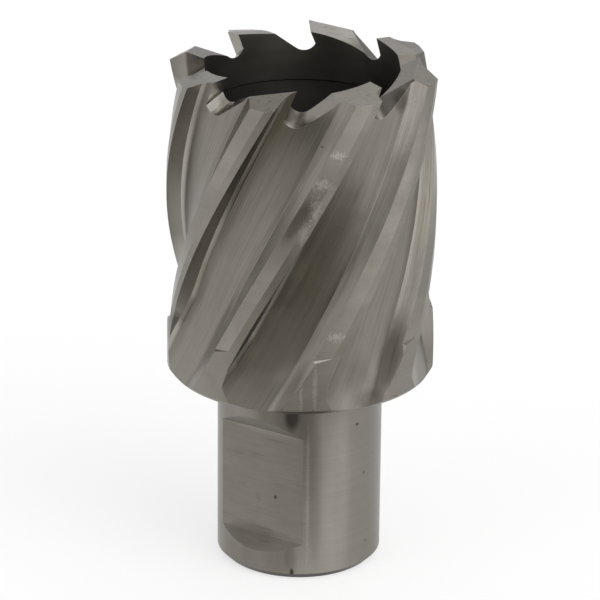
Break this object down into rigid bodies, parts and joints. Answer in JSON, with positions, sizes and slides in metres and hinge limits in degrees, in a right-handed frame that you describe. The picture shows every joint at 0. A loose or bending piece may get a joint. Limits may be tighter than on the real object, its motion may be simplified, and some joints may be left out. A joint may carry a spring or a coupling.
{
  "type": "annular cutter",
  "caption": "Hollow cylindrical hole cutter with helical flutes, ground teeth round its open end and a plain round shank with screw flats.",
  "frame": {"origin": "centre of the flat end of the shank", "axes": "+Z along the cutter's axis, from the shank end to the teeth"},
  "size_m": [0.0307, 0.0306, 0.0606],
  "materials": {
    "ground_steel": "ground high speed steel, warm grey, with fine grinding lines"
  },
  "bodies": {
    "root": {"annular_cutter": "ground_steel"}
  },
  "joints": []
}
